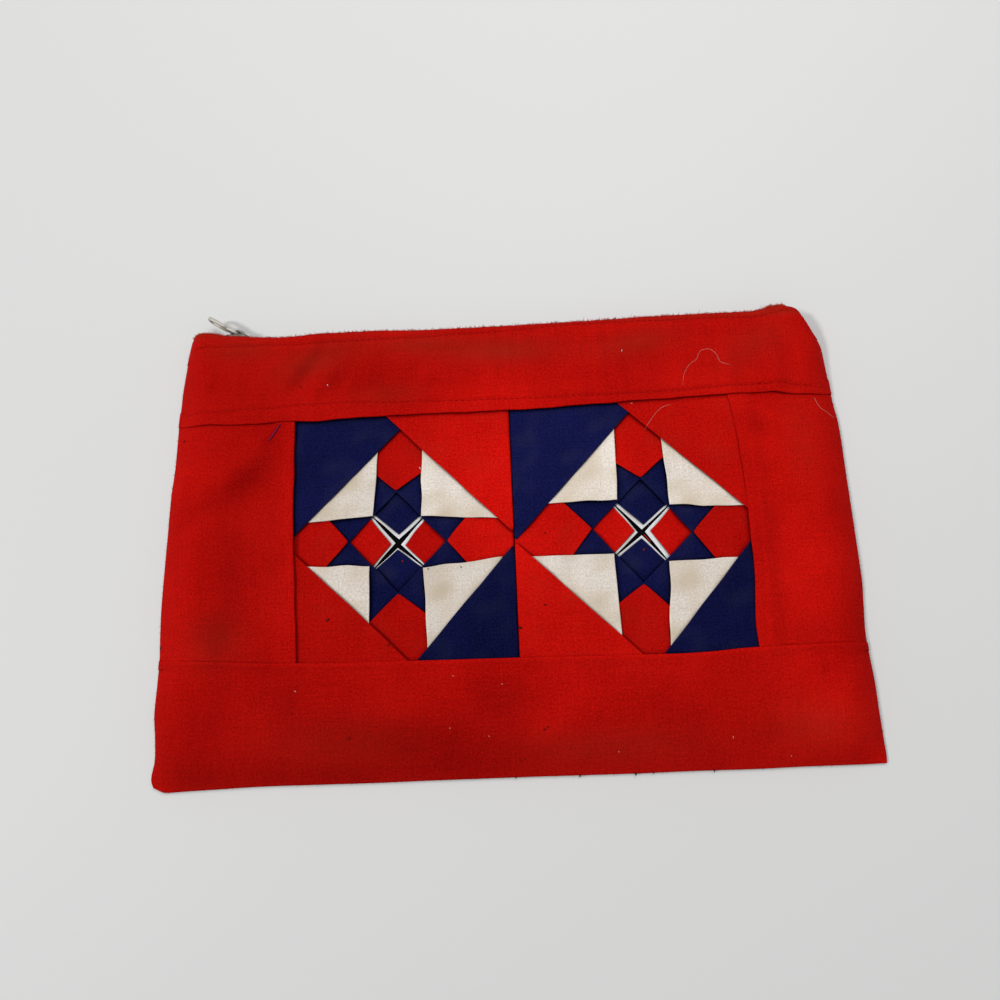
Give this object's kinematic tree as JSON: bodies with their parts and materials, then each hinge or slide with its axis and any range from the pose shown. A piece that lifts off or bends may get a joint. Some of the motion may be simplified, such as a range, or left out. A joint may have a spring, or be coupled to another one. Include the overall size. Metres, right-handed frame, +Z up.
{
  "type": "patchwork zipper pouch",
  "caption": "Flat red cotton pouch with folded-star patchwork blocks framed by folded bands, closed by a zipper along its top edge with a swinging pull tab.",
  "frame": {"origin": "middle of the back panel's flat underside, on the surface that the pouch lies on", "axes": "+X along the zipper with the slider at the -X end, +Y from the bottom seam to the zipper, +Z up out of the patchwork front"},
  "size_m": [0.2503, 0.1758, 0.0099],
  "materials": {
    "red_cotton": "matt plain weave",
    "navy_cotton": "matt plain weave",
    "white_cotton": "matt plain weave, slightly yellowed",
    "black_cotton": "matt plain weave",
    "zip_tape": "matt twill tape",
    "nickel": "worn nickel plate"
  },
  "bodies": {
    "pouch": {"back_panel": "red_cotton", "top_band": "red_cotton", "bottom_band": "red_cotton", "left_panel": "red_cotton", "right_panel": "red_cotton", "left_block_foundation": "black_cotton", "left_block_white_edge_north": "white_cotton", "left_block_white_edge_east": "white_cotton", "left_block_white_edge_south": "white_cotton", "left_block_white_edge_west": "white_cotton", "left_block_inner_point_north": "navy_cotton", "left_block_inner_point_east": "red_cotton", "left_block_inner_point_south": "navy_cotton", "left_block_inner_point_west": "red_cotton", "left_block_red_lobe_north": "red_cotton", "left_block_red_lobe_east": "red_cotton", "left_block_red_lobe_south": "red_cotton", "left_block_red_lobe_west": "red_cotton", "left_block_navy_strip_northwest": "navy_cotton", "left_block_navy_strip_northeast": "navy_cotton", "left_block_navy_strip_southwest": "navy_cotton", "left_block_navy_strip_southeast": "navy_cotton", "left_block_white_triangle_northwest": "white_cotton", "left_block_white_triangle_northeast": "white_cotton", "left_block_white_triangle_southwest": "white_cotton", "left_block_white_triangle_southeast": "white_cotton", "left_block_corner_northwest": "navy_cotton", "left_block_corner_northeast": "red_cotton", "left_block_corner_southwest": "red_cotton", "left_block_corner_southeast": "navy_cotton", "right_block_foundation": "black_cotton", "right_block_white_edge_north": "white_cotton", "right_block_white_edge_east": "white_cotton", "right_block_white_edge_south": "white_cotton", "right_block_white_edge_west": "white_cotton", "right_block_inner_point_north": "navy_cotton", "right_block_inner_point_east": "red_cotton", "right_block_inner_point_south": "navy_cotton", "right_block_inner_point_west": "red_cotton", "right_block_red_lobe_north": "red_cotton", "right_block_red_lobe_east": "red_cotton", "right_block_red_lobe_south": "red_cotton", "right_block_red_lobe_west": "red_cotton", "right_block_navy_strip_northwest": "navy_cotton", "right_block_navy_strip_northeast": "navy_cotton", "right_block_navy_strip_southwest": "navy_cotton", "right_block_navy_strip_southeast": "navy_cotton", "right_block_white_triangle_northwest": "white_cotton", "right_block_white_triangle_northeast": "white_cotton", "right_block_white_triangle_southwest": "white_cotton", "right_block_white_triangle_southeast": "white_cotton", "right_block_corner_northwest": "navy_cotton", "right_block_corner_northeast": "red_cotton", "right_block_corner_southwest": "red_cotton", "right_block_corner_southeast": "navy_cotton", "zipper_tape_front": "zip_tape", "zipper_tape_back": "zip_tape", "zipper_teeth": "nickel", "slider": "nickel"},
    "pull_tab": {"pull_tab": "nickel"}
  },
  "joints": [
    {"name": "pull_tab_swing", "type": "hinge", "parent": "pouch", "child": "pull_tab", "pos_m": [-0.1034, 0.08455, 0.00495], "axis": [0, 0, 1], "range_deg": [-146, 22]}
  ]
}
